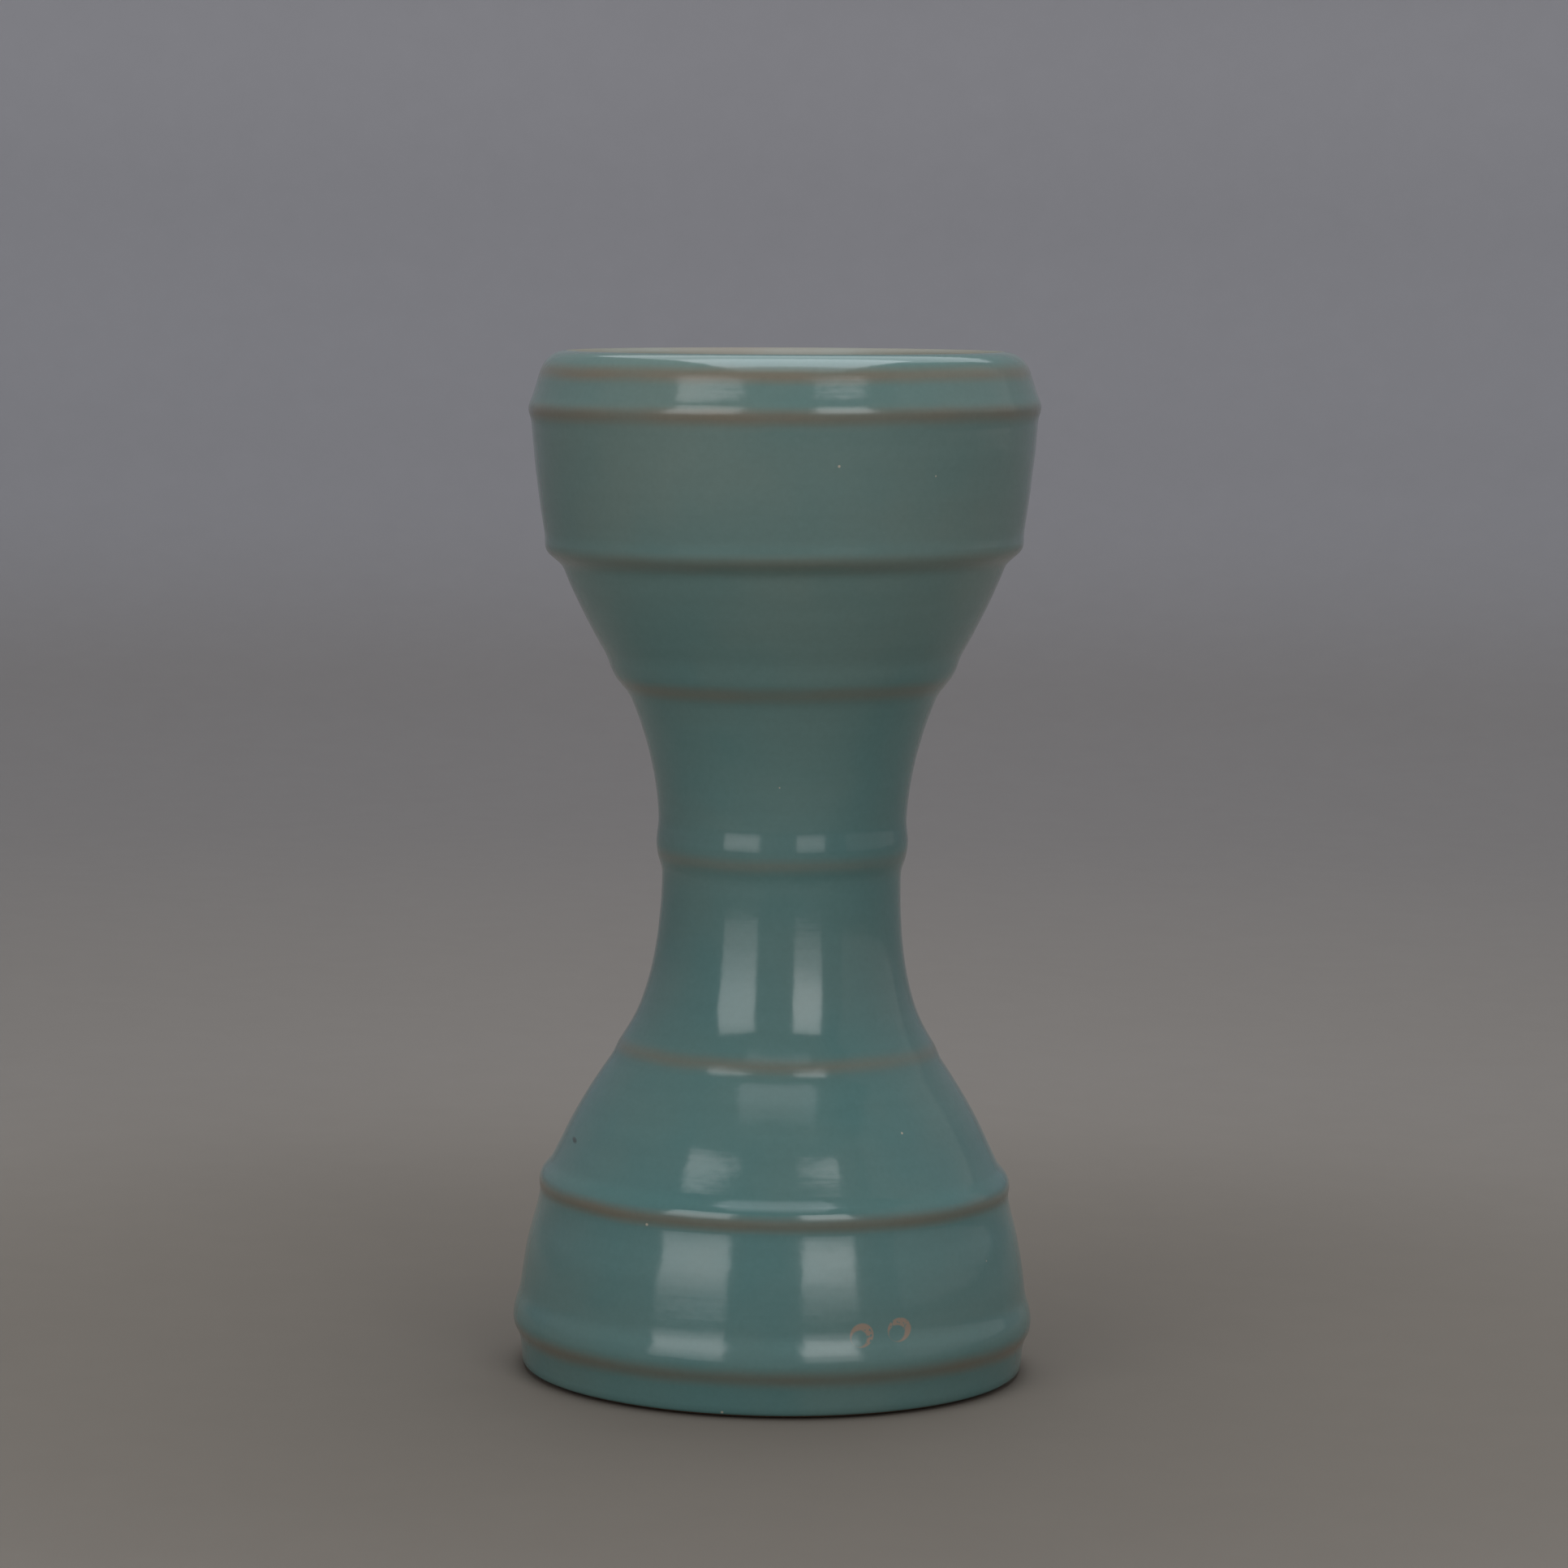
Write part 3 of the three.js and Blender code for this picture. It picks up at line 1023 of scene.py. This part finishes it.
class GUVASE_OT_thrown_sections(Operator):
    """Turn the three thrown sections of stoneware: the mouth, the waist and the bell foot"""

    bl_idname = "gu_vase.thrown_sections"
    bl_label = "Thrown Sections"

    def execute(self, context):
        shape, finish = context.scene.gu_vase_shape, context.scene.gu_vase_finish
        material = stoneware("stoneware", finish)
        outside, inside = clay_outlines(shape)
        gap = shape.slip_thickness / 2 + shape.clearance
        mouth = wall(outside, inside, UPPER_JOINT + gap, DRAWN_HEIGHT * MM)
        waist = wall(outside, inside, LOWER_JOINT + gap, UPPER_JOINT - gap)
        foot = foot_outline(shape, outside, inside, LOWER_JOINT - gap)
        sections = (
            ("thrown_mouth", mouth, shape.hidden_around, "mouth_section"),
            ("thrown_waist", waist, shape.hidden_around, "waist_section"),
            ("thrown_foot", foot, shape.around, "foot_section"),
        )
        for name, outline, around, node in sections:
            turned_piece(context, name, outline, around, material, node)
        return {"FINISHED"}


class GUVASE_OT_floor_disc(Operator):
    """Turn the floor that is dropped onto the ledge of the foot"""

    bl_idname = "gu_vase.floor_disc"
    bl_label = "Floor Disc"

    def execute(self, context):
        shape, finish = context.scene.gu_vase_shape, context.scene.gu_vase_finish
        depth = shape.glaze_thickness + shape.clearance
        down = Vector((0.0, 0.0, -depth))
        underside = RECESS["middle"] + Vector((0.0, 0.0, shape.clearance))
        rim = Vector((WALL_FOOT.x + depth - shape.clearance, 0.0, 0.0))
        rim_top = FLOOR_CORNER["bottom"] + down
        outline = [
            underside,
            rim + Vector((0.0, 0.0, underside.z)),
            rim + Vector((0.0, 0.0, rim_top.z)),
            rim_top,
            FLOOR_MIDDLE + down,
        ]
        outline = evenly(outline, shape.hidden_spacing)
        material = stoneware("floor_stoneware", finish)
        turned_piece(
            context, "set_in_floor", outline, shape.hidden_around, material, "floor_disc"
        )
        return {"FINISHED"}


class GUVASE_OT_slip(Operator):
    """Turn the slip in the two joints and the roll of slip round the floor"""

    bl_idname = "gu_vase.slip"
    bl_label = "Slip"

    def execute(self, context):
        shape, finish = context.scene.gu_vase_shape, context.scene.gu_vase_finish
        material = brushed_slip("slip", finish)
        outside, inside = clay_outlines(shape)
        half = shape.slip_thickness / 2
        depth = shape.glaze_thickness + shape.clearance
        outer = WALL_FOOT.x + depth - shape.clearance
        bottom = FLOOR_CORNER["bottom"].z - depth + shape.clearance
        roll = [
            Vector((outer, 0.0, bottom)),
            Vector((outer, 0.0, SLIP_ROLL_TOP)),
            *between(inside, bottom, SLIP_ROLL_TOP),
        ]
        upper = wall(outside, inside, UPPER_JOINT - half, UPPER_JOINT + half)
        lower = wall(outside, inside, LOWER_JOINT - half, LOWER_JOINT + half)
        pieces = (
            ("upper_luting", upper, "upper_slip_ring"),
            ("lower_luting", lower, "lower_slip_ring"),
            ("floor_slip_roll", roll, "floor_fillet"),
        )
        for name, outline, node in pieces:
            turned_piece(context, name, outline, shape.hidden_around, material, node)
        return {"FINISHED"}


class GUVASE_OT_base_glaze(Operator):
    """Turn the glaze under the floor, inside the foot ring"""

    bl_idname = "gu_vase.base_glaze"
    bl_label = "Base Glaze"

    def execute(self, context):
        shape, finish = context.scene.gu_vase_shape, context.scene.gu_vase_finish
        fine = shape.surface_spacing / 2
        edge = curve(BASE_GLAZE["start"], BASE_GLAZE["corner"], BASE_GLAZE["end"], fine)
        top = RECESS["middle"].z
        outline = [
            BASE_GLAZE["middle"],
            BASE_GLAZE["start"],
            *edge,
            Vector((BASE_GLAZE["end"].x, 0.0, top)),
            RECESS["middle"],
        ]
        outline = evenly(outline, shape.surface_spacing)
        material = celadon("base_glaze", finish.celadon, finish, BASE_LINES)
        turned_piece(context, "base_coat", outline, shape.around, material, "base_glaze")
        return {"FINISHED"}


def aimed_light(context, name, place, target, width, height, radiance):
    """A soft rectangular light that shines at a target and isn't seen itself."""
    light = bpy.data.lights.new(name, "AREA")
    light.shape = "RECTANGLE"
    light.size = width
    light.size_y = height
    light.energy = radiance * pi * width * height
    lamp = bpy.data.objects.new(name, light)
    turn = (Vector(target) - Vector(place)).to_track_quat("-Z", "Y")
    lamp.matrix_world = Matrix.Translation(place) @ turn.to_matrix().to_4x4()
    lamp.visible_camera = False
    context.scene.collection.objects.link(lamp)
    return light


def window_glow(lower_pane):
    """How bright a window is from its bottom, which fades out, past its dim lower pane to its dim top."""
    lower = ((0.0, 0.0), (0.08, 0.6 * lower_pane), (0.2, lower_pane), (0.34, 0.92))
    return (*lower, (0.5, 1.0), (0.68, 0.97), (0.9, 0.8), (1.0, 0.4))


def shade_light(light, stops):
    """Gives a rectangular light a brightness that changes up its height, by stops from 0 to 1."""
    recipe = Recipe(light)
    up = recipe.part(recipe.node("ShaderNodeNewGeometry", output="Parametric"), "Y")
    emission = recipe.node("ShaderNodeEmission", None, {"Strength": recipe.ramp(up, stops)})
    recipe.end("ShaderNodeOutputLight", emission)


class GUVASE_OT_stage(Operator):
    """Make the pale floor with its sweep, the windows, the soft lights, the dim room and the camera"""

    bl_idname = "gu_vase.stage"
    bl_label = "Stage"

    def execute(self, context):
        studio = context.scene.gu_vase_studio
        self.make_sweep(context, studio)
        self.make_lights(context, studio)
        self.make_room(context, studio)
        self.make_camera(context, studio)
        context.scene.view_settings.view_transform = "Standard"
        return {"FINISHED"}

    def make_sweep(self, context, studio):
        """A round floor whose edge curves up into a wall on every side."""
        floor_edge = Vector((SWEEP["floor_radius"], 0.0, 0.0))
        corner = Vector((SWEEP["wall_radius"], 0.0, 0.0))
        rise = Vector((SWEEP["wall_radius"], 0.0, SWEEP["rise"]))
        top = Vector((SWEEP["wall_radius"], 0.0, SWEEP["height"]))
        outline = [Vector(ORIGIN), floor_edge, *curve(floor_edge, corner, rise, SWEEP["spacing"] / 2), top]
        sweep = spun(evenly(outline, SWEEP["spacing"]), SWEEP_AROUND)
        middle = min(sweep.faces, key=lambda face: face.calc_center_median().length)
        if middle.normal.z < 0:
            bmesh.ops.reverse_faces(sweep, faces=sweep.faces[:])
        floor = link_mesh(context, "seamless_floor", sweep, seamless_paper("seamless_paper", studio))

    def make_lights(self, context, studio):
        """An upright window on either side of the camera, and three soft lights."""
        for name, window in WINDOWS.items():
            low, high = window["from"], window["to"]
            middle, half = (low + high) / 2, (high - low) / 2
            width = 2 * WINDOW_DISTANCE * tan(half)
            place = Vector((sin(middle), -cos(middle), 0.0)) * WINDOW_DISTANCE
            place.z = (WINDOW_BOTTOM + WINDOW_TOP) / 2
            target = (0.0, 0.0, place.z)
            height = WINDOW_TOP - WINDOW_BOTTOM
            radiance = studio.window_brightness * window["share"]
            light = aimed_light(context, name, place, target, width, height, radiance)
            shade_light(light, window_glow(window["lower_pane"]))
        above = aimed_light(context, "overhead", **OVERHEAD, radiance=studio.overhead_brightness)
        shade_light(above, OVERHEAD_GLOW)
        behind = aimed_light(context, "back_light", **BACK_LIGHT, radiance=studio.back_brightness)
        beside = aimed_light(context, "side_panel", **SIDE_PANEL, radiance=studio.side_brightness)
        above.color = COOL_LIGHT
        behind.color = COOL_LIGHT
        beside.color = WARM_LIGHT

    def make_room(self, context, studio):
        """A dim even room, seen over the edge of the sweep."""
        world = bpy.data.worlds.new("dim_room")
        world.use_nodes = True
        background = world.node_tree.nodes["Background"]
        background.inputs["Color"].default_value = (*ROOM_COLOUR, 1.0)
        background.inputs["Strength"].default_value = studio.room_brightness
        context.scene.world = world

    def make_camera(self, context, studio):
        data = bpy.data.cameras.new("camera")
        data.sensor_width = 36
        data.lens = studio.camera_lens
        data.clip_start = 0.05
        data.clip_end = 20
        camera = bpy.data.objects.new("camera", data)
        pitch = Matrix.Rotation(pi / 2 - studio.camera_pitch, 4, "X")
        roll = Matrix.Rotation(studio.camera_roll, 4, "Z")
        place = (studio.camera_aside, -studio.camera_distance, studio.camera_height)
        camera.matrix_world = Matrix.Translation(place) @ pitch @ roll
        context.scene.collection.objects.link(camera)
        context.scene.camera = camera


class GUVASE_PT_sidebar(Panel):
    """Lists the sizes, the colours and the steps of the vase"""

    bl_idname = "GUVASE_PT_sidebar"
    bl_label = "Gu Vase"
    bl_space_type = "VIEW_3D"
    bl_region_type = "UI"
    bl_category = "Gu Vase"

    def draw(self, context):
        scene = context.scene
        for group in (scene.gu_vase_shape, scene.gu_vase_finish, scene.gu_vase_studio):
            box = self.layout.box()
            for name in group.__annotations__:
                box.prop(group, name)
        for step in STEPS:
            self.layout.operator(step.bl_idname)


STEPS = (
    GUVASE_OT_stage,
    GUVASE_OT_thrown_sections,
    GUVASE_OT_floor_disc,
    GUVASE_OT_slip,
    GUVASE_OT_outer_glaze,
    GUVASE_OT_lining,
    GUVASE_OT_base_glaze,
)
GROUPS = {
    "gu_vase_shape": VaseShape,
    "gu_vase_finish": VaseFinish,
    "gu_vase_studio": VaseStudio,
}


def register():
    for made in (*GROUPS.values(), *STEPS, GUVASE_PT_sidebar):
        bpy.utils.register_class(made)
    for name, group in GROUPS.items():
        setattr(bpy.types.Scene, name, PointerProperty(type=group))


def unregister():
    for name in GROUPS:
        delattr(bpy.types.Scene, name)
    for made in (GUVASE_PT_sidebar, *reversed(STEPS), *reversed(GROUPS.values())):
        bpy.utils.unregister_class(made)


def main():
    register()
    for step in STEPS:
        family, name = step.bl_idname.split(".")
        getattr(getattr(bpy.ops, family), name)()


if __name__ == "__main__":
    main()
